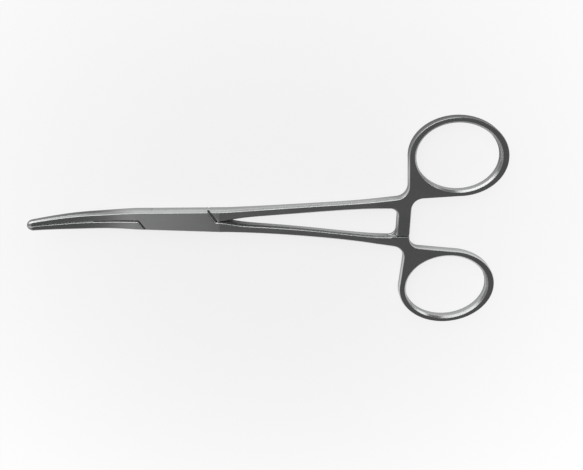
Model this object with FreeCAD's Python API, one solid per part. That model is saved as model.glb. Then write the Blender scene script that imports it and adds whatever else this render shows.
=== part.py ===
import FreeCAD, Part
import math
import os

# Curved haemostatic forceps with a box lock, finger rings and a ratchet.
# The pivot axis is Z, the jaws point to -X and curve up, the rings are at +X,
# and the back of the lock rests on Z = 0. All lengths are in millimetres.

# Lock block, where one half passes through the other
lock_thickness = 4.6
lock_half_width = 3.26
lock_flare = 0.022
lock_bevel = 0.5
lock_bevel_fall = 1.0
shoulder_outer = 8.9
shoulder_inner = 11.3
flank_setback = 1.4
tenon_thickness = 1.8
front_bevel = 0.2
rear_bevel = 0.35
seam_bevel = 0.2
seam_bevel_fall = 0.3

# Clearances
slide_gap = 0.05
flank_gap = 0.06
front_gap = 0.28
rear_gap = 0.7
face_gap = 0.04
seam_gap = 0.24
pin_gap = 0.04
tooth_gap = 0.03
step_gap = 0.3
block_margin = 0.5
cut_overrun = 1.0

# Pivot pin, riveted flush
pin_radius = 1.25

# Jaws: straight, then an arc, then straight again to a blunt nose
jaw_reach = 42.95
jaw_straight = 12.6
jaw_bend_radius = 71.0
jaw_bend_angle = math.radians(24.5)
jaw_nose_length = 1.8
jaw_tip = (1.50, 1.25, 0.40, 0.55)
# Each row: share of the way to the nose, width, half thickness, bevel and its fall
jaw_stations = (
    (0.19, 2.66, 2.12, 0.50, 0.92),
    (0.385, 2.44, 1.92, 0.50, 0.86),
    (0.56, 2.32, 1.74, 0.50, 0.80),
    (0.72, 2.08, 1.58, 0.48, 0.74),
    (0.86, 1.80, 1.42, 0.44, 0.66),
)
# Distance of the jaw faces from their closed plane at each of those rows
jaw_parting = (0.11, 0.07, 0.03, 0.02, 0.02)
# Each row: share of the nose length, share of the section size
nose_stations = ((0.5, 0.86), (0.84, 0.55), (1.0, 0.16))

# Cross serrations on the jaw faces
serration_length = 18.5
serration_pitch = 0.9
serration_depth = 0.24
serration_gap = 0.035
serration_root = 0.35
serration_end_gap = 0.06
serration_nose_share = 0.6

# Ratchet arm, half as thick as the plate, with saw teeth on its inner face
arm_to_ring = 16.5
arm_width = 4.1
arm_bevel = 0.3
arm_corner = 0.6
tooth_count = 3
tooth_pitch = 2.1
tooth_depth = 0.5
tooth_end = 0.45
tooth_land = 0.4

# Shanks: each row is share of the run, distance of the inner side from the
# closing plane, width, half thickness, bevel and its fall
shank_stations = (
    (0.054, 0.24, 3.32, 2.20, 0.46, 0.90),
    (0.138, 0.97, 2.80, 2.02, 0.46, 0.80),
    (0.268, 1.54, 2.60, 1.80, 0.45, 0.75),
    (0.477, 2.31, 2.54, 1.58, 0.45, 0.72),
    (0.728, 3.40, 2.40, 1.52, 0.45, 0.70),
)
tenon_shank_bow = 0.2
box_shank_bow = -0.25
tenon_shank_lean = 0.0
box_shank_lean = -0.3
shank_arm_margin = 0.1
shank_end_width = 2.78
shank_end_bevel = 0.45
loft_degree = 3

# Handle plate between shank, ratchet arm and ring
stem_lead = 6.2
stem_half_thickness = 1.7
stem_bevel_fall = 0.7
stem_outer_slope = 0.13
stem_inner_slope = 0.02
stem_outer_normal = math.radians(184)
stem_lower_normal = math.radians(-85.3)
stem_outer_fillet = 3.6
stem_notch_fillet = 3.4
stem_inner_fillet = 2.2
stem_seat = 0.03

# Finger rings: an oval around an oval opening that sits a little off its centre
ring_x = 82.1
ring_y = 20.8
ring_long = 14.79
ring_short = 12.01
ring_turn = math.radians(-5)
ring_along = 0.26
hole_long = 12.4
hole_short = 10.19
hole_along = 0.13
ring_bevel = 0.22
hole_bevel = 0.55

mid_z = lock_thickness / 2
block_end = shoulder_inner + rear_gap + block_margin
plan_wide = lock_half_width * 2
plan_far = block_end + cut_overrun
jaw_bend_run = jaw_bend_radius * math.sin(jaw_bend_angle)
jaw_end_run = (jaw_reach - jaw_straight - jaw_bend_run) / math.cos(jaw_bend_angle)
jaw_length = jaw_straight + jaw_bend_radius * jaw_bend_angle + jaw_end_run
arm_left = ring_x - arm_to_ring
arm_reach = tooth_count * tooth_pitch / 2 + tooth_end + tooth_land
stem_start = arm_left - stem_lead
shank_inner_end = arm_reach + step_gap + shank_arm_margin
shank_outer_end = shank_inner_end + shank_end_width
middle_long = (ring_long + hole_long) / 2
middle_short = (ring_short + hole_short) / 2
Z_AXIS = FreeCAD.Vector(0, 0, 1)
X_AXIS = FreeCAD.Vector(1, 0, 0)


def vec(x, y, z=0.0):
    return FreeCAD.Vector(x, y, z)


def line(start, end):
    return Part.LineSegment(start, end).toShape()


def arc(start, middle, end):
    return Part.Arc(start, middle, end).toShape()


def smooth_loft(wires):
    """Solid through sections, with enough spans that every bend is meshed."""
    return Part.makeLoft(wires, True, False, False, loft_degree)


def plan_prism(points, bottom, top):
    outline = [vec(x, y, bottom) for x, y in points]
    face = Part.Face(Part.makePolygon(outline + outline[:1]))
    return face.extrude(vec(0, 0, top - bottom))


def block_width(x):
    return lock_half_width + lock_flare * x


def bar_section(inner, outer, half, inner_edge, outer_edge):
    """Bevelled bar section as eight pairs of sideways and upward distances.

    Each edge is given as the width and the fall of its bevel.
    """
    above = [
        (outer, half - outer_edge[1]),
        (outer - outer_edge[0], half),
        (inner + inner_edge[0], half),
        (inner, half - inner_edge[1]),
    ]
    return above + [(across, -up) for across, up in reversed(above)]


# Lock
def block_section(x):
    width = block_width(x)
    edge = (lock_bevel, lock_bevel_fall)
    corners = [vec(x, y, mid_z + up) for y, up in bar_section(-width, width, mid_z, edge, edge)]
    return Part.makePolygon(corners + corners[:1])


def lock_block():
    return Part.makeLoft([block_section(-block_end), block_section(block_end)], True, True)


def shoulder_x(y):
    """X of the slanted shoulder line at the lock's rear, at a height in the plan."""
    return shoulder_inner + (shoulder_outer - shoulder_inner) * y / lock_half_width


def both_ends(points):
    """A plan that is the same after half a turn about the pivot."""
    return points + [(-x, -y) for x, y in points]


def box_plan():
    """Plan of the box half: it ends at a slanted shoulder on each side."""
    return both_ends([
        (-shoulder_inner, seam_gap / 2),
        (-shoulder_inner, 0),
        (-shoulder_x(plan_wide), -plan_wide),
        (plan_far, -plan_wide),
        (plan_far, -seam_gap / 2),
    ])


def end_plan(sign, gap):
    """Plan of one full-thickness end of the inner half, beyond its shoulder."""
    points = [
        (shoulder_inner + gap, seam_gap / 2),
        (shoulder_x(plan_wide) + gap, plan_wide),
        (plan_far, plan_wide),
        (plan_far, seam_gap / 2),
    ]
    return [(sign * x, sign * y) for x, y in points]


def tenon_plan(gap, edge):
    """Plan of the inner half's thin layer, with straight edges at y = edge."""
    setback = flank_setback + gap
    return both_ends([
        (-shoulder_x(plan_wide) + setback, plan_wide),
        (plan_far, plan_wide),
        (plan_far, edge),
        (shoulder_x(-edge) - setback, edge),
    ])


def groove(start, run, across, floor, bevel):
    """Cutter for a bevelled groove, given its floor's two edges across the run."""
    low, high = floor
    sunk = vec(0, 0, seam_bevel_fall if start.z > mid_z else -seam_bevel_fall)
    corners = [
        start + across * (low - bevel),
        start + across * (high + bevel),
        start + across * high - sunk,
        start + across * low - sunk,
    ]
    face = Part.Face(Part.makePolygon(corners + corners[:1]))
    return face.extrude(run)


def shoulder_groove(sign, gap, bevel, face_z):
    start = vec(sign * shoulder_inner, 0, face_z)
    run = vec(sign * (shoulder_x(plan_wide) - shoulder_inner), sign * plan_wide)
    return groove(start, run, vec(sign, 0), (0, gap), bevel)


def seam_groove(sign, face_z):
    start = vec(sign * shoulder_inner, 0, face_z)
    run = vec(sign * (block_end - shoulder_inner), 0)
    return groove(start, run, vec(0, 1), (-seam_gap / 2, seam_gap / 2), seam_bevel)


def lock_grooves():
    """Bevels along the shoulders and along the closing plane, on both faces."""
    cuts = []
    for face_z in (0, lock_thickness):
        cuts.append(shoulder_groove(1, rear_gap, rear_bevel, face_z))
        cuts.append(shoulder_groove(-1, front_gap, front_bevel, face_z))
        cuts.append(seam_groove(1, face_z))
        cuts.append(seam_groove(-1, face_z))
    return Part.makeCompound(cuts)


def pin_cylinder(radius, overrun=0.0):
    start = vec(0, 0, -overrun)
    return Part.makeCylinder(radius, lock_thickness + 2 * overrun, start, Z_AXIS)


def box_lock_part():
    slot_half = tenon_thickness / 2 + slide_gap
    body = lock_block().common(plan_prism(box_plan(), 0, lock_thickness))
    slot = plan_prism(tenon_plan(0, -seam_gap / 2), mid_z - slot_half, mid_z + slot_half)
    return body.cut([slot, lock_grooves()])


def tenon_lock_part():
    plan = tenon_plan(flank_gap, seam_gap / 2)
    tenon = plan_prism(plan, mid_z - tenon_thickness / 2, mid_z + tenon_thickness / 2)
    jaw_end = plan_prism(end_plan(-1, front_gap), 0, lock_thickness)
    shank_end = plan_prism(end_plan(1, rear_gap), 0, lock_thickness)
    body = lock_block().common(tenon.fuse([jaw_end, shank_end]))
    return body.cut(lock_grooves())


# Jaws
def jaw_frame(distance):
    """Centre, direction and upward normal of the jaw at a distance from the pivot."""
    if distance <= jaw_straight:
        return vec(-distance, 0, mid_z), vec(-1, 0, 0), vec(0, 0, 1)
    bent = min((distance - jaw_straight) / jaw_bend_radius, jaw_bend_angle)
    beyond = distance - jaw_straight - jaw_bend_radius * bent
    along = vec(-math.cos(bent), 0, math.sin(bent))
    up = vec(math.sin(bent), 0, math.cos(bent))
    x = -jaw_straight - jaw_bend_radius * math.sin(bent)
    z = mid_z + jaw_bend_radius * (1 - math.cos(bent))
    return vec(x, 0, z) + along * beyond, along, up


def jaw_section(side, inner, distance, width, half_thickness, bevel, fall, share=1.0):
    """Section across a jaw, shrunk to a share of its size."""
    centre, _, up = jaw_frame(distance)
    outer_edge = (bevel * share, fall * share)
    seam_edge = (seam_bevel * share, seam_bevel_fall * share)
    half = half_thickness * share
    pairs = bar_section(inner, width * share, half, seam_edge, outer_edge)
    corners = [centre + vec(0, side * across) + up * height for across, height in pairs]
    return Part.makePolygon(corners + corners[:1])


def jaw_sizes():
    """Distance, width, half thickness, bevel and its fall at each section of a jaw."""
    root = (block_end, block_width(-block_end), mid_z, lock_bevel, lock_bevel_fall)
    nose_start = jaw_length - jaw_nose_length
    run = nose_start - block_end
    sizes = [root]
    for share, width, half_thickness, bevel, fall in jaw_stations:
        sizes.append((block_end + share * run, width, half_thickness, bevel, fall))
    sizes.append((nose_start,) + jaw_tip)
    return sizes


def jaw(side):
    """One jaw on the +Y or -Y side; its face parts from the closed plane at the root."""
    parting = (seam_gap / 2,) + jaw_parting + (face_gap / 2,)
    wires = [jaw_section(side, inner, *size) for inner, size in zip(parting, jaw_sizes())]
    nose = [wires[-1]]
    for share, scale in nose_stations:
        distance = jaw_length - jaw_nose_length * (1 - share)
        nose.append(jaw_section(side, face_gap / 2, distance, *jaw_tip, scale))
    return smooth_loft(wires).fuse(smooth_loft(nose))


def serration_ridge(distance, shrink):
    """Long triangular ridge across the closing plane, pointing towards +Y."""
    centre, along, up = jaw_frame(distance)
    base = centre - up * mid_z
    foot = along * (serration_pitch / 2 - shrink)
    sunk = vec(0, -serration_root)
    corners = [base - foot + sunk, base + foot + sunk, base + foot]
    corners += [base + vec(0, serration_depth - shrink), base - foot]
    face = Part.Face(Part.makePolygon(corners + corners[:1]))
    return face.extrude(up * lock_thickness)


def serrations(shrink):
    last = jaw_length - jaw_nose_length * serration_nose_share
    count = int(serration_length / serration_pitch)
    distances = [last - serration_pitch * (index + 0.5) for index in range(count)]
    return Part.makeCompound([serration_ridge(distance, shrink) for distance in distances])


def ridge_room():
    """Upper jaw's space for ridges, which end short of the bevelled edges."""
    wires = []
    for distance, width, half_thickness, bevel, fall in jaw_sizes():
        half = half_thickness - seam_bevel_fall - serration_end_gap
        wires.append(jaw_section(1, -serration_root, distance, width, half, bevel, fall))
    nose_end = jaw_section(1, -serration_root, jaw_length, *jaw_tip, serration_nose_share)
    wires.append(nose_end)
    return Part.makeLoft(wires, True, True)


def tenon_jaw():
    """Lower jaw, with ridges that reach over the closing plane."""
    ridges = ridge_room().common(serrations(serration_gap))
    return jaw(-1).fuse(ridges)


def box_jaw():
    """Upper jaw, with grooves that take the other jaw's ridges."""
    return jaw(1).cut(serrations(-serration_gap))


# Finger ring
def ring_ellipse(long_axis, short_axis, along, z):
    """Ellipse of given half axes, moved from the ring's centre along its long axis."""
    long_way = vec(math.cos(ring_turn), math.sin(ring_turn))
    short_way = vec(-math.sin(ring_turn), math.cos(ring_turn))
    centre = vec(ring_x, ring_y, z) + long_way * along
    return Part.Ellipse(centre + long_way * long_axis, centre + short_way * short_axis, centre)


def plate_levels():
    """Heights of the plate's levels, with the share of the bevel that each is set in."""
    wall = stem_half_thickness - stem_bevel_fall
    half = stem_half_thickness
    return ((mid_z - half, 1), (mid_z - wall, 0), (mid_z + wall, 0), (mid_z + half, 1))


def ring_shell(long_axis, short_axis, along, bevel):
    """Solid oval with bevelled edges; a negative bevel flares outward at the faces."""
    wires = []
    for z, inset in plate_levels():
        shrink = bevel * inset
        ellipse = ring_ellipse(long_axis - shrink, short_axis - shrink, along, z)
        wires.append(Part.Wire(ellipse.toShape()))
    return Part.makeLoft(wires, True, True)


def finger_ring():
    outer = ring_shell(ring_long, ring_short, ring_along, ring_bevel)
    hole = ring_shell(hole_long, hole_short, hole_along, -hole_bevel)
    return outer.cut(hole)


# Handle plate
def meet(first, second):
    """Crossing of two lines, each given as a point and a direction."""
    (p, d), (q, e) = first, second
    cross = d.x * e.y - d.y * e.x
    share = ((q.x - p.x) * e.y - (q.y - p.y) * e.x) / cross
    return p + d * share


def rounded(before, corner, after, radius):
    """Start, middle and end of the arc that rounds a corner."""
    to_before = (before - corner).normalize()
    to_after = (after - corner).normalize()
    half = to_before.getAngle(to_after) / 2
    middle_line = (to_before + to_after).normalize()
    setback = radius / math.tan(half)
    centre = corner + middle_line * (radius / math.sin(half))
    return corner + to_before * setback, centre - middle_line * radius, corner + to_after * setback


def ring_tangent(normal_angle, inset):
    """Point just inside the ring's outer edge with a given normal, and the tangent there."""
    local = normal_angle - ring_turn
    long_axis = ring_long - inset - stem_seat
    short_axis = ring_short - inset - stem_seat
    nx = math.cos(local) * long_axis ** 2
    ny = math.sin(local) * short_axis ** 2
    size = math.hypot(math.cos(local) * long_axis, math.sin(local) * short_axis)
    u = nx / size + ring_along
    v = ny / size
    x = ring_x + u * math.cos(ring_turn) - v * math.sin(ring_turn)
    y = ring_y + u * math.sin(ring_turn) + v * math.cos(ring_turn)
    return vec(x, y), vec(-math.sin(normal_angle), math.cos(normal_angle))


def middle_parameter(point):
    """Parameter of the bar's middle line in the direction of a point."""
    dx = point.x - ring_x
    dy = point.y - ring_y
    u = dx * math.cos(ring_turn) + dy * math.sin(ring_turn)
    v = -dx * math.sin(ring_turn) + dy * math.cos(ring_turn)
    return math.atan2(v / middle_short, u / middle_long) % (2 * math.pi)


def stem_wire(z, inset, lean):
    """Outline of the handle plate: inset 0 at its sides, 1 at its flats."""
    shank_inset = shank_end_bevel * inset
    arm_inset = arm_bevel * inset
    outer_y = shank_outer_end + lean - shank_inset
    inner_y = shank_inner_end + lean + shank_inset
    outer_line = (vec(stem_start, outer_y), vec(1, stem_outer_slope))
    inner_line = (vec(stem_start, inner_y), vec(1, stem_inner_slope))
    left_line = (vec(arm_left + arm_inset, 0), vec(0, 1))
    right_line = (vec(arm_left + arm_width - arm_inset, 0), vec(0, 1))
    end_line = (vec(0, -arm_reach), vec(1, 0))
    outer_touch = ring_tangent(stem_outer_normal, ring_bevel * inset)
    lower_touch = ring_tangent(stem_lower_normal, ring_bevel * inset)

    outer_corner = meet(outer_line, outer_touch)
    notch_corner = meet(lower_touch, right_line)
    right_end = meet(right_line, end_line)
    left_end = meet(end_line, left_line)
    inner_corner = meet(left_line, inner_line)

    outer_fillet = stem_outer_fillet + shank_inset
    notch_fillet = stem_notch_fillet + arm_inset
    inner_fillet = stem_inner_fillet + arm_inset
    outer_round = rounded(outer_line[0], outer_corner, outer_touch[0], outer_fillet)
    notch_round = rounded(lower_touch[0], notch_corner, right_end, notch_fillet)
    right_round = rounded(notch_corner, right_end, left_end, arm_corner)
    left_round = rounded(right_end, left_end, inner_corner, arm_corner)
    inner_round = rounded(left_end, inner_corner, inner_line[0], inner_fillet)

    first = middle_parameter(outer_touch[0])
    last = middle_parameter(lower_touch[0])
    middle_line = ring_ellipse(middle_long, middle_short, 0, 0)
    inside = Part.ArcOfEllipse(middle_line, first, last)
    edges = [
        line(outer_line[0], outer_round[0]),
        arc(*outer_round),
        line(outer_round[2], outer_touch[0]),
        line(outer_touch[0], inside.StartPoint),
        inside.toShape(),
        line(inside.EndPoint, lower_touch[0]),
        line(lower_touch[0], notch_round[0]),
        arc(*notch_round),
        line(notch_round[2], right_round[0]),
        arc(*right_round),
        line(right_round[2], left_round[0]),
        arc(*left_round),
        line(left_round[2], inner_round[0]),
        arc(*inner_round),
        line(inner_round[2], inner_line[0]),
        line(inner_line[0], outer_line[0]),
    ]
    wire = Part.Wire(edges)
    wire.translate(vec(0, 0, z))
    return wire


def stem_plate(lean):
    wires = [stem_wire(z, inset, lean) for z, inset in plate_levels()]
    return Part.makeLoft(wires, True, True)


def tooth_cuts():
    """Saw notches in the arm's inner face, their steep sides facing the shank."""
    left = arm_left - cut_overrun
    width = arm_width + 2 * cut_overrun
    base = mid_z + tooth_gap
    first = -arm_reach + tooth_end
    cuts = []
    for index in range(tooth_count):
        y = first + index * tooth_pitch
        corners = [
            vec(left, y, base),
            vec(left, y, base + tooth_depth),
            vec(left, y + tooth_pitch, base),
        ]
        face = Part.Face(Part.makePolygon(corners + corners[:1]))
        cuts.append(face.extrude(vec(width, 0, 0)))
    return cuts


def arm_relief():
    """Space behind the arm for the other half's arm."""
    left = arm_left - stem_inner_fillet - arm_bevel
    right = arm_left + arm_width + stem_notch_fillet
    top = arm_reach + step_gap
    low = -arm_reach - step_gap
    depth = stem_half_thickness + tooth_gap
    corner = vec(left, low, mid_z - stem_half_thickness)
    return Part.makeBox(right - left, top - low, depth, corner)


# Shank
def shank_section(x, inner, outer, half_thickness, inner_edge, outer_edge):
    pairs = bar_section(inner, outer, half_thickness, inner_edge, outer_edge)
    corners = [vec(x, y, mid_z + up) for y, up in pairs]
    return Part.makePolygon(corners + corners[:1])


def shank(bow, lean):
    """Bowed bar from the lock to the plate, where it leans by an extra distance."""
    run = stem_start - block_end
    wires = [shank_section(
        block_end, seam_gap / 2, block_width(block_end), mid_z,
        (seam_bevel, seam_bevel_fall), (lock_bevel, lock_bevel_fall),
    )]
    for share, offset, width, half_thickness, bevel, fall in shank_stations:
        inner = offset + bow * math.sin(math.pi * share) + lean * share
        x = block_end + share * run
        edge = (bevel, fall)
        wires.append(shank_section(x, inner, inner + width, half_thickness, edge, edge))
    end_edge = (shank_end_bevel, stem_bevel_fall)
    wires.append(shank_section(
        stem_start, shank_inner_end + lean, shank_outer_end + lean,
        stem_half_thickness, end_edge, end_edge,
    ))
    return smooth_loft(wires)


def handle(bow, lean):
    """Shank, plate, ratchet arm and finger ring of one half, on the +Y side."""
    plate = stem_plate(lean).cut(Part.makeCompound([arm_relief()] + tooth_cuts()))
    return plate.fuse([shank(bow, lean), finger_ring()])


def turned_over(shape):
    copy = shape.copy()
    copy.rotate(vec(0, 0, mid_z), X_AXIS, 180)
    return copy


# Nodes
def one_solid(shape):
    joined = shape.removeSplitter()
    if len(joined.Solids) != 1:
        raise RuntimeError("a half fell into %d solids" % len(joined.Solids))
    return joined.Solids[0]


def box_half():
    body = box_lock_part().fuse([box_jaw(), turned_over(handle(box_shank_bow, box_shank_lean))])
    return one_solid(body.cut(pin_cylinder(pin_radius, cut_overrun)))


def tenon_half():
    body = tenon_lock_part().fuse([tenon_jaw(), handle(tenon_shank_bow, tenon_shank_lean)])
    return one_solid(body.cut(pin_cylinder(pin_radius + pin_gap, cut_overrun)))


def pivot_pin():
    return pin_cylinder(pin_radius)


def main():
    os.makedirs("parts", exist_ok=True)
    nodes = {"box_half": box_half, "tenon_half": tenon_half, "pivot_pin": pivot_pin}
    for name, build in nodes.items():
        shape = build()
        shape.exportStep(os.path.join("parts", name + ".step"))
        print(name, round(shape.Volume, 3), shape.BoundBox)


if __name__ == "__main__":
    main()
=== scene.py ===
import math

import bpy
from mathutils import Matrix, Vector


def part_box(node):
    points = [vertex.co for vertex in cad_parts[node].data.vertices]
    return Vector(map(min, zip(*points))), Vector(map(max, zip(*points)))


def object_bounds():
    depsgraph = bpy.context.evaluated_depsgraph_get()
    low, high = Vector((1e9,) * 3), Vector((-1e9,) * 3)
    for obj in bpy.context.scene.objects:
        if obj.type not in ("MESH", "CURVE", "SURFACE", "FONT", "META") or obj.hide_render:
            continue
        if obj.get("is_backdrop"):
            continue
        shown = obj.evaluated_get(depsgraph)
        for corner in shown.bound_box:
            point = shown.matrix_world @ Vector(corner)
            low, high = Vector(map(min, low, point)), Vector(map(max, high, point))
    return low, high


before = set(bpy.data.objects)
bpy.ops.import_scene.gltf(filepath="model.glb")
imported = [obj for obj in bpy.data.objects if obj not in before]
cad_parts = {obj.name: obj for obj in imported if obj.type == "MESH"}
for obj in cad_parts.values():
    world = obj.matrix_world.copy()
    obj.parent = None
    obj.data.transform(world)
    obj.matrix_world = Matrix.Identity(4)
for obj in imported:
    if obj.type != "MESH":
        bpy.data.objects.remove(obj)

bl_info = {
    "name": "Curved haemostatic forceps",
    "version": (1, 0, 0),
    "blender": (4, 5, 0),
    "location": "View3D > Sidebar > Forceps",
    "description": "Satin steel finish, pale studio stage and camera for curved haemostatic forceps",
    "category": "Object",
}

HALVES = ("box_half", "tenon_half")
PIN = "pivot_pin"
MM = 0.001
CAD_LOW, CAD_HIGH = (list(corner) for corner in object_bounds())
MIDDLE = (Vector(CAD_LOW) + Vector(CAD_HIGH)) / 2
PIN_LOW, PIN_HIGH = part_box(PIN)
PIN_RADIUS = (PIN_HIGH[0] - PIN_LOW[0]) / 2
LINE_DETAIL = 2.0
CLOUD_DETAIL = 3.0
GRAIN_DETAIL = 1.0
EDGE_SAMPLES = 16
CONTACT_SAMPLES = 8
FLOOR_GAP = 0.02 * MM
WHITE = (1.0, 1.0, 1.0)
BLACK = (0.0, 0.0, 0.0)
# Softbox above and behind the object, turned towards its middle
SOFTBOX_PLACE = (-0.25, 0.70, 0.80)
SOFTBOX_SIZE = (1.2, 0.8)
# Backward share of the direction where the light band starts and where it is full
BAND_START = 0.2
BAND_FULL = 0.7
BAND_BLUR = 0.125
SENSOR_WIDTH = 36.0
NEAREST = 0.01
FARTHEST = 20.0


class SteelFinish(bpy.types.PropertyGroup):
    """Colour and surface of the satin stainless steel."""

    colour: bpy.props.FloatVectorProperty(
        name="Steel colour", description="Reflected colour of the bare steel",
        subtype="COLOR", size=3, min=0.0, max=1.0, default=(0.66, 0.665, 0.67),
    )
    mottle: bpy.props.FloatProperty(
        name="Mottle", description="Share by which the colour drifts over the surface",
        subtype="FACTOR", min=0.0, max=1.0, default=0.12,
    )
    roughness: bpy.props.FloatProperty(
        name="Roughness", description="Mean roughness of the satin finish",
        subtype="FACTOR", min=0.0, max=1.0, default=0.235,
    )
    streak: bpy.props.FloatProperty(
        name="Streak", description="How far brushing lines and clouds change the roughness",
        subtype="FACTOR", min=0.0, max=1.0, default=0.06,
    )
    line_share: bpy.props.FloatProperty(
        name="Line share", description="Share of the brushing lines in the colour and the height",
        subtype="FACTOR", min=0.0, max=1.0, default=0.35,
    )
    line_width: bpy.props.FloatProperty(
        name="Line width", description="Width of one brushing line",
        unit="LENGTH", min=0.00001, default=0.25 * MM,
    )
    line_length: bpy.props.FloatProperty(
        name="Line length", description="Length of one brushing line",
        unit="LENGTH", min=0.0001, default=5.0 * MM,
    )
    cloud_length: bpy.props.FloatProperty(
        name="Cloud length", description="Length of a cloudy patch left by polishing",
        unit="LENGTH", min=0.0001, default=9.0 * MM,
    )
    cloud_width: bpy.props.FloatProperty(
        name="Cloud width", description="Width of a cloudy patch left by polishing",
        unit="LENGTH", min=0.0001, default=5.0 * MM,
    )
    grain_size: bpy.props.FloatProperty(
        name="Grain size", description="Size of the fine blasted grain",
        unit="LENGTH", min=0.00001, default=0.16 * MM,
    )
    grain_depth: bpy.props.FloatProperty(
        name="Grain depth", description="Height of the fine blasted grain",
        unit="LENGTH", min=0.0, default=0.001 * MM,
    )
    edge_radius: bpy.props.FloatProperty(
        name="Edge radius", description="Radius to which polishing has rounded the edges",
        unit="LENGTH", min=0.0001 * MM, default=0.28 * MM,
    )
    wear_gain: bpy.props.FloatProperty(
        name="Wear gain",
        description="How quickly wear shows as an edge turns away",
        min=0.0, default=3.0,
    )
    wear_polish: bpy.props.FloatProperty(
        name="Wear polish", description="How much smoother handling has made the edges",
        subtype="FACTOR", min=0.0, max=1.0, default=0.04,
    )


class StudioStage(bpy.types.PropertyGroup):
    """Floor, lamp and surroundings."""

    floor_colour: bpy.props.FloatVectorProperty(
        name="Floor colour", description="Colour of the pale floor",
        subtype="COLOR", size=3, min=0.0, max=1.0, default=(0.86, 0.86, 0.86),
    )
    floor_white: bpy.props.FloatProperty(
        name="Floor white", description="Share of plain white that the camera sees on the floor",
        subtype="FACTOR", min=0.0, max=1.0, default=0.80,
    )
    white_start: bpy.props.FloatProperty(
        name="White start",
        description="Distance from the object's middle where the floor starts to turn plain white",
        unit="LENGTH", min=0.0, default=0.02,
    )
    white_run: bpy.props.FloatProperty(
        name="White run", description="Distance over which it turns plain white",
        unit="LENGTH", min=0.001, default=0.14,
    )
    floor_shine: bpy.props.FloatProperty(
        name="Floor shine", description="Share of plain white that the metal sees on the open floor",
        subtype="FACTOR", min=0.0, max=1.0, default=1.0,
    )
    # Painted contact shade: near the object, an ambient occlusion mask paints darker the white that the
    # metal sees on the floor.
    contact_reach: bpy.props.FloatProperty(
        name="Contact reach", description="How far from the object the floor looks darker in the metal",
        unit="LENGTH", min=0.001, default=0.010,
    )
    contact_depth: bpy.props.FloatProperty(
        name="Contact depth", description="Power by which the floor darkens where the object hems it in",
        min=0.0, default=1.4,
    )
    # Painted pool of light: outside it, the white that the metal sees on the floor is painted darker, as
    # painted shade behind the object and beside the jaw tips.
    pool_left: bpy.props.FloatProperty(
        name="Pool left", description="Where the pool of light on the floor ends beside the jaw tips",
        unit="LENGTH", default=-0.026,
    )
    pool_back: bpy.props.FloatProperty(
        name="Pool back", description="Where the pool of light on the floor ends behind the object",
        unit="LENGTH", default=0.024,
    )
    pool_blur: bpy.props.FloatProperty(
        name="Pool blur", description="Distance over which the pool of light fades out",
        unit="LENGTH", min=0.001, default=0.012,
    )
    pool_outside: bpy.props.FloatProperty(
        name="Outside the pool",
        description="Brightness that is left on the floor outside the pool of light",
        subtype="FACTOR", min=0.0, max=1.0, default=0.35,
    )
    background: bpy.props.FloatProperty(
        name="Background", description="Brightness of the surroundings as the camera sees them",
        subtype="FACTOR", min=0.0, max=1.0, default=1.0,
    )
    floor_size: bpy.props.FloatProperty(
        name="Floor size", description="Edge of the square floor",
        unit="LENGTH", min=0.5, default=3.0,
    )
    ceiling_at_jaws: bpy.props.FloatProperty(
        name="Ceiling at jaws",
        description="Brightness of the ceiling on the jaws' side",
        min=0.0, default=0.33,
    )
    ceiling_at_rings: bpy.props.FloatProperty(
        name="Ceiling at rings",
        description="Brightness of the ceiling on the rings' side",
        min=0.0, default=0.095,
    )
    ceiling_step: bpy.props.FloatProperty(
        name="Ceiling step",
        description="Sideways share of the direction where the ceiling changes",
        default=-0.09,
    )
    ceiling_blur: bpy.props.FloatProperty(
        name="Ceiling blur", description="Sideways share of the direction over which it changes",
        min=0.001, default=0.06,
    )
    wall: bpy.props.FloatProperty(
        name="Walls",
        description="Brightness of the surroundings near the horizon",
        min=0.0, default=0.21,
    )
    wall_height: bpy.props.FloatProperty(
        name="Wall height",
        description="Sine of the elevation at which the walls give way to the ceiling",
        min=0.05, max=1.0, default=0.45,
    )
    band: bpy.props.FloatProperty(
        name="Light band",
        description="Extra brightness low on the wall behind the object",
        min=0.0, default=1.8,
    )
    band_height: bpy.props.FloatProperty(
        name="Light band height", description="Sine of the elevation at which that band has faded out",
        min=0.05, max=1.0, default=0.50,
    )
    band_end: bpy.props.FloatProperty(
        name="Light band end", description="Sideways share of the direction where that band ends",
        default=0.26,
    )
    band_again: bpy.props.FloatProperty(
        name="Second light band", description="Sideways share of the direction where it starts again",
        default=0.55,
    )
    key_power: bpy.props.FloatProperty(
        name="Key lamp", description="Power of the softbox above and behind the object",
        unit="POWER", min=0.0, default=5.0,
    )


class PhotoCamera(bpy.types.PropertyGroup):
    """Where the photograph was taken from."""

    place: bpy.props.FloatVectorProperty(
        name="Place", description="Centre of the lens", subtype="XYZ", unit="LENGTH",
        size=3, default=(0.0282, 0.0845, 0.2278),
    )
    lean: bpy.props.FloatVectorProperty(
        name="Lean", description="Sideways lean of the view for each unit of height",
        size=2, default=(-0.0259, 0.3954),
    )
    roll: bpy.props.FloatProperty(
        name="Roll", description="Turn about the line of sight",
        subtype="ANGLE", default=math.radians(1.194),
    )
    lens: bpy.props.FloatProperty(
        name="Lens", description="Focal length on a 36 mm wide sensor, in millimetres",
        min=1.0, default=49.5,
    )


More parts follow.
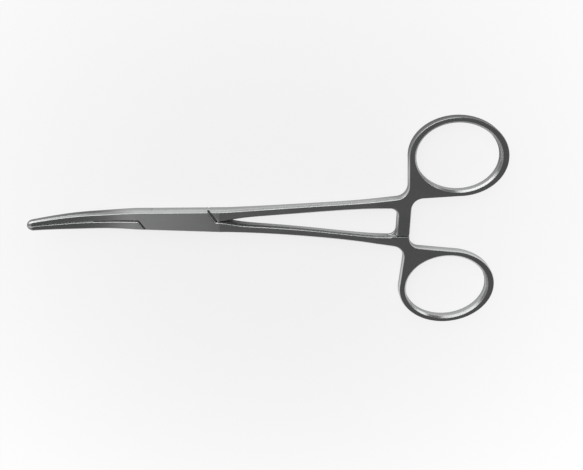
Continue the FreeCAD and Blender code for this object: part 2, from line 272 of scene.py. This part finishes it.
class Value:
    """A shader socket that adds Math nodes when it is used in an expression."""

    def __init__(self, shader, socket):
        self.shader = shader
        self.socket = socket

    def _maths(self, operation, *inputs):
        return self.shader.add("ShaderNodeMath", {"operation": operation}, dict(enumerate(inputs)))

    def __add__(self, other):
        return self._maths("ADD", self, other)

    def __radd__(self, other):
        return self._maths("ADD", other, self)

    def __sub__(self, other):
        return self._maths("SUBTRACT", self, other)

    def __rsub__(self, other):
        return self._maths("SUBTRACT", other, self)

    def __mul__(self, other):
        return self._maths("MULTIPLY", self, other)

    def __rmul__(self, other):
        return self._maths("MULTIPLY", other, self)

    def __truediv__(self, other):
        return self._maths("DIVIDE", self, other)

    def __pow__(self, other):
        return self._maths("POWER", self, other)

    def at_least(self, lowest):
        return self._maths("MAXIMUM", self, lowest)

    def clamped(self):
        return self._maths("MINIMUM", self.at_least(0.0), 1.0)

    def smooth(self):
        """Ease from 0 to 1 over the same range."""
        share = self.clamped()
        return share * share * (3.0 - share * 2.0)


class Shader:
    """Builds one node tree."""

    def __init__(self, tree):
        self.tree = tree
        tree.nodes.clear()

    def add(self, kind, settings=None, inputs=None, output=0):
        node = self.tree.nodes.new(kind)
        for name, setting in (settings or {}).items():
            setattr(node, name, setting)
        for name, value in (inputs or {}).items():
            if isinstance(value, Value):
                self.tree.links.new(value.socket, node.inputs[name])
            else:
                node.inputs[name].default_value = value
        return None if output is None else Value(self, node.outputs[output])

    def split(self, vector):
        first = self.add("ShaderNodeSeparateXYZ", None, {0: vector})
        outputs = first.socket.node.outputs
        return [Value(self, outputs[axis]) for axis in range(3)]

    def noise(self, vector, detail, output=0):
        return self.add(
            "ShaderNodeTexNoise", {"noise_dimensions": "3D"},
            {"Vector": vector, "Scale": 1.0, "Detail": detail, "Roughness": 0.5}, output,
        )

    def stretched(self, vector, sizes):
        """The coordinates counted in cells of the given sizes."""
        counts = tuple(1.0 / size for size in sizes)
        return self.add("ShaderNodeVectorMath", {"operation": "MULTIPLY"}, {0: vector, 1: counts})

    def tinted(self, factor, dark, light):
        """A colour that runs from dark to light with a factor."""
        inputs = {0: factor, 6: (*dark, 1.0), 7: (*light, 1.0)}
        return self.add("ShaderNodeMix", {"data_type": "RGBA"}, inputs, 2)

    def finish(self, kind, surface):
        self.add(kind, None, {"Surface": surface}, None)


def new_material(name):
    material = bpy.data.materials.new(name)
    material.use_nodes = True
    return material


def brushing_lines(shader, finish, place):
    """Straight lines along the instrument."""
    sizes = (finish.line_length, finish.line_width, finish.line_width)
    return shader.noise(shader.stretched(place, sizes), LINE_DETAIL)


def turning_lines(shader, finish, place):
    """Rings about the pivot, as left on the ground end of the pin."""
    x, y, z = shader.split(place)
    radius = (x * x + y * y) ** 0.5
    rings = {0: radius / finish.line_width, 1: 0.0, 2: z / finish.line_length}
    return shader.noise(shader.add("ShaderNodeCombineXYZ", None, rings), LINE_DETAIL)


def rounded_edges(shader, finish, place):
    """Normal with rounded edges, except where the pin is ground flush, and the wear on those edges."""
    plain = shader.add("ShaderNodeNewGeometry", None, None, "Normal")
    soft = shader.add("ShaderNodeBevel", {"samples": EDGE_SAMPLES}, {"Radius": finish.edge_radius})
    x, y = shader.split(place)[:2]
    from_pin = (x * x + y * y) ** 0.5 - PIN_RADIUS
    away = (from_pin / finish.edge_radius - 1.0).smooth()
    normal = shader.add("ShaderNodeMix", {"data_type": "VECTOR"}, {0: away, 4: plain, 5: soft}, 1)
    alike = shader.add("ShaderNodeVectorMath", {"operation": "DOT_PRODUCT"}, {0: plain, 1: normal}, "Value")
    return normal, ((1.0 - alike) * finish.wear_gain).clamped()


def satin_steel(name, finish, lines, rounded):
    """Satin stainless steel with brushing or turning lines, with its edges rounded or ground flush."""
    material = new_material(name)
    shader = Shader(material.node_tree)
    place = shader.add("ShaderNodeTexCoord", None, None, "Object")
    streaks = lines(shader, finish, place)
    cloud_sizes = (finish.cloud_length, finish.cloud_width, finish.cloud_width)
    clouds = shader.noise(shader.stretched(place, cloud_sizes), CLOUD_DETAIL)
    grain = shader.noise(shader.stretched(place, (finish.grain_size,) * 3), GRAIN_DETAIL)

    rough = finish.roughness + (streaks + clouds - 1.0) * finish.streak
    tone = clouds * (1.0 - finish.line_share) + streaks * finish.line_share
    height = grain * (1.0 - finish.line_share) + streaks * finish.line_share
    relief = {"Strength": 1.0, "Distance": finish.grain_depth, "Height": height}
    if rounded:
        relief["Normal"], worn = rounded_edges(shader, finish, place)
        rough = rough - worn * finish.wear_polish

    dark = [channel * (1.0 - finish.mottle) for channel in finish.colour]
    light = [min(1.0, channel * (1.0 + finish.mottle)) for channel in finish.colour]
    surface = shader.add(
        "ShaderNodeBsdfPrincipled", None,
        {
            "Base Color": shader.tinted(tone.clamped(), dark, light), "Metallic": 1.0,
            "Roughness": rough.clamped(), "Normal": shader.add("ShaderNodeBump", None, relief),
        },
    )
    shader.finish("ShaderNodeOutputMaterial", surface)
    return material


def dress(node, material):
    """Give a CAD node its material in every slot."""
    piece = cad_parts[node]
    if not piece.data.materials:
        piece.data.materials.append(material)
    for slot in piece.material_slots:
        slot.material = material


def floor_material(stage):
    """Pale floor that keeps a soft shadow and looks white to the camera; in the metal it shows white with a
    painted contact shade near the object and painted shade outside a painted pool of light.
    """
    material = new_material("pale_floor")
    shader = Shader(material.node_tree)
    paths = shader.add("ShaderNodeLightPath").socket.node.outputs
    camera = Value(shader, paths["Is Camera Ray"])
    shine = (Value(shader, paths["Is Glossy Ray"]) + Value(shader, paths["Is Transmission Ray"])).clamped()
    x, y = shader.split(shader.add("ShaderNodeTexCoord", None, None, "Object"))[:2]
    # Painted pool of light on the floor, seen only in the metal; outside it the floor's reflection is
    # painted darker.
    in_front = ((stage.pool_back - y) / stage.pool_blur).smooth()
    inside = in_front * ((x - stage.pool_left) / stage.pool_blur).smooth()
    pool = stage.pool_outside + inside * (1.0 - stage.pool_outside)
    # Painted contact shade: ambient occlusion darkens the floor's white, as glossy rays see it, close to
    # the object.
    painted_contact_shade = shader.add(
        "ShaderNodeAmbientOcclusion", {"samples": CONTACT_SAMPLES}, {"Distance": stage.contact_reach}, "AO",
    )
    painted_floor_reflection = painted_contact_shade ** stage.contact_depth * pool * stage.floor_shine
    matt = shader.add("ShaderNodeBsdfDiffuse", None, {"Color": (*stage.floor_colour, 1.0)})
    # This emission colour carries the painted contact shade and the painted pool of light into the metal's
    # reflection of the floor.
    light = shader.tinted((camera + shine * painted_floor_reflection).clamped(), BLACK, WHITE)
    white = shader.add("ShaderNodeEmission", None, {"Color": light, "Strength": 1.0})
    off_x, off_y = x - MIDDLE.x, y - MIDDLE.y
    away = (((off_x * off_x + off_y * off_y) ** 0.5 - stage.white_start) / stage.white_run).smooth()
    white_share = stage.floor_white + away * (1.0 - stage.floor_white)
    share = (camera * white_share + shine).clamped()
    mixed = shader.add("ShaderNodeMixShader", None, {0: share, 1: matt, 2: white})
    shader.finish("ShaderNodeOutputMaterial", mixed)
    return material


def lay_floor(stage):
    half = stage.floor_size / 2
    mesh = bpy.data.meshes.new("pale_floor")
    corners = [(-half, -half), (half, -half), (half, half), (-half, half)]
    mesh.from_pydata([(x, y, CAD_LOW[2] - FLOOR_GAP) for x, y in corners], [], [(0, 1, 2, 3)])
    floor = bpy.data.objects.new("pale_floor", mesh)
    bpy.context.scene.collection.objects.link(floor)
    mesh.materials.append(floor_material(stage))
    floor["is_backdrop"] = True


def paint_world(stage):
    """Plain room: a grey ceiling that darkens towards the rings, pale walls and a light band behind."""
    world = bpy.data.worlds.new("studio_room")
    world.use_nodes = True
    bpy.context.scene.world = world
    shader = Shader(world.node_tree)
    x, y, z = shader.split(shader.add("ShaderNodeTexCoord", None, None, "Generated"))
    to_rings = ((x - stage.ceiling_step) / stage.ceiling_blur + 0.5).smooth()
    ceiling = stage.ceiling_at_jaws + to_rings * (stage.ceiling_at_rings - stage.ceiling_at_jaws)
    height = (z / stage.wall_height).smooth()
    lit = ((stage.band_end - x) / BAND_BLUR).smooth() + ((x - stage.band_again) / BAND_BLUR).smooth()
    back = ((y - BAND_START) / (BAND_FULL - BAND_START)).smooth()
    behind = back * lit * (1.0 - z / stage.band_height).smooth()
    room = ceiling * height + stage.wall * (1.0 - height) + stage.band * behind
    camera = Value(shader, shader.add("ShaderNodeLightPath").socket.node.outputs["Is Camera Ray"])
    strength = room * (1.0 - camera) + camera * stage.background
    background = shader.add(
        "ShaderNodeBackground", None, {"Color": (*WHITE, 1.0), "Strength": strength},
    )
    shader.finish("ShaderNodeOutputWorld", background)


def hang_lamp(name, place, size, power):
    data = bpy.data.lights.new(name, "AREA")
    data.shape = "RECTANGLE"
    data.size, data.size_y = size
    data.energy = power
    lamp = bpy.data.objects.new(name, data)
    lamp.location = place
    lamp.rotation_euler = (Vector(place) - MIDDLE).to_track_quat("Z", "Y").to_euler()
    bpy.context.scene.collection.objects.link(lamp)


def set_camera(camera):
    back = Vector((*camera.lean, 1.0)).normalized()
    right = Vector((0.0, 1.0, 0.0)).cross(back).normalized()
    up = back.cross(right)
    turn = Matrix.Rotation(camera.roll, 3, back)
    columns = Matrix((turn @ right, turn @ up, back)).transposed()
    data = bpy.data.cameras.new("photo_camera")
    data.sensor_width = SENSOR_WIDTH
    data.lens = camera.lens
    data.clip_start, data.clip_end = NEAREST, FARTHEST
    eye = bpy.data.objects.new("photo_camera", data)
    eye.matrix_world = Matrix.Translation(Vector(camera.place)) @ columns.to_4x4()
    bpy.context.scene.collection.objects.link(eye)
    bpy.context.scene.camera = eye


class FORCEPS_OT_halves(bpy.types.Operator):
    """Give both halves their satin steel"""

    bl_idname = "forceps.halves"
    bl_label = "Finish the halves"

    def execute(self, context):
        steel = satin_steel("satin_steel", context.scene.forceps_steel, brushing_lines, True)
        for node in HALVES:
            dress(node, steel)
        return {"FINISHED"}


class FORCEPS_OT_pin(bpy.types.Operator):
    """Give the flush pivot pin its ground steel"""

    bl_idname = "forceps.pin"
    bl_label = "Finish the pivot pin"

    def execute(self, context):
        dress(PIN, satin_steel("ground_steel", context.scene.forceps_steel, turning_lines, False))
        return {"FINISHED"}


class FORCEPS_OT_stage(bpy.types.Operator):
    """Lay the floor, paint the room, hang the lamp and set the camera"""

    bl_idname = "forceps.stage"
    bl_label = "Set the stage"

    def execute(self, context):
        stage = context.scene.forceps_stage
        lay_floor(stage)
        paint_world(stage)
        hang_lamp("key_softbox", SOFTBOX_PLACE, SOFTBOX_SIZE, stage.key_power)
        set_camera(context.scene.forceps_camera)
        context.scene.view_settings.view_transform = "Standard"
        return {"FINISHED"}


class FORCEPS_PT_panel(bpy.types.Panel):
    """Sizes, colours and steps of the forceps scene"""

    bl_idname = "FORCEPS_PT_panel"
    bl_label = "Forceps"
    bl_space_type = "VIEW_3D"
    bl_region_type = "UI"
    bl_category = "Forceps"

    def draw(self, context):
        for group_name, kind in GROUPS.items():
            box = self.layout.box()
            for name in kind.__annotations__:
                box.prop(getattr(context.scene, group_name), name)
        for operator in OPERATORS:
            self.layout.operator(operator.bl_idname)


GROUPS = {"forceps_steel": SteelFinish, "forceps_stage": StudioStage, "forceps_camera": PhotoCamera}
OPERATORS = (FORCEPS_OT_halves, FORCEPS_OT_pin, FORCEPS_OT_stage)


def register():
    for group in GROUPS.values():
        bpy.utils.register_class(group)
    for kind in (*OPERATORS, FORCEPS_PT_panel):
        bpy.utils.register_class(kind)
    for name, group in GROUPS.items():
        setattr(bpy.types.Scene, name, bpy.props.PointerProperty(type=group))


def unregister():
    for name in GROUPS:
        delattr(bpy.types.Scene, name)
    for kind in (FORCEPS_PT_panel, *OPERATORS, *GROUPS.values()):
        bpy.utils.unregister_class(kind)


def main():
    register()
    bpy.ops.forceps.halves()
    bpy.ops.forceps.pin()
    bpy.ops.forceps.stage()


if __name__ == "__main__":
    main()
